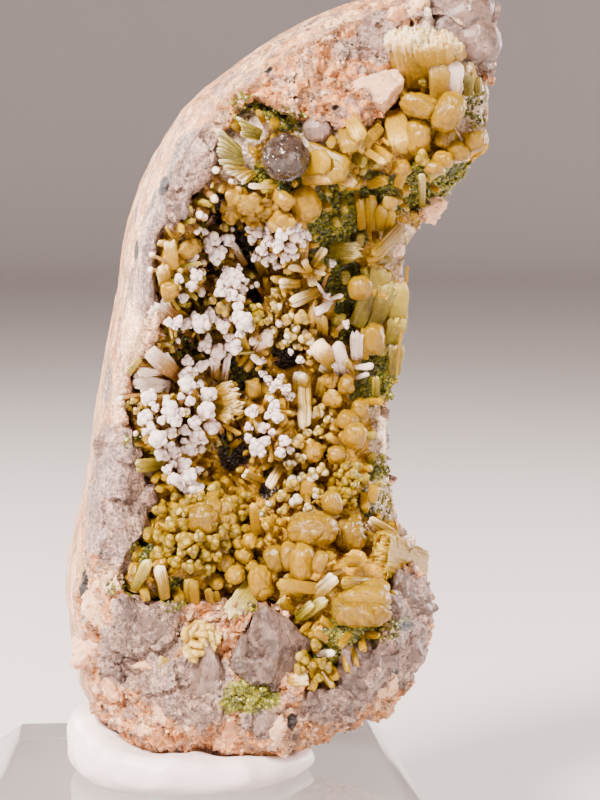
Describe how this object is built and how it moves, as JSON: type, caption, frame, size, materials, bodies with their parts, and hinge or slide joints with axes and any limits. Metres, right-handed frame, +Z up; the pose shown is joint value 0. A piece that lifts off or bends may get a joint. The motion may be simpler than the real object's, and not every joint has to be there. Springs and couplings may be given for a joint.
{
  "type": "zeolite specimen on a display block",
  "caption": "Water-worn granite stone with a pocket of yellow and white zeolite crystals, standing in putty on a clear bevelled block.",
  "frame": {"origin": "centre of the clear block's underside", "axes": "+Z up along the standing stone, the crystal pocket faces -Y, +X to the viewer's right"},
  "size_m": [0.0636, 0.0564, 0.1092],
  "materials": {
    "clear_acrylic": "polished",
    "putty": "soft, smooth",
    "granite": "rough where broken, water-worn elsewhere",
    "grey_quartz": "glassy",
    "zeolite": "waxy to glassy crystals"
  },
  "bodies": {
    "root": {"acrylic_block": "clear_acrylic", "mineral_putty": "putty", "granite_matrix": "granite", "quartz_knob": "grey_quartz", "quartz_ridge": "grey_quartz", "zeolite_crust": "zeolite", "zeolite_sheaf": "zeolite"}
  },
  "joints": []
}
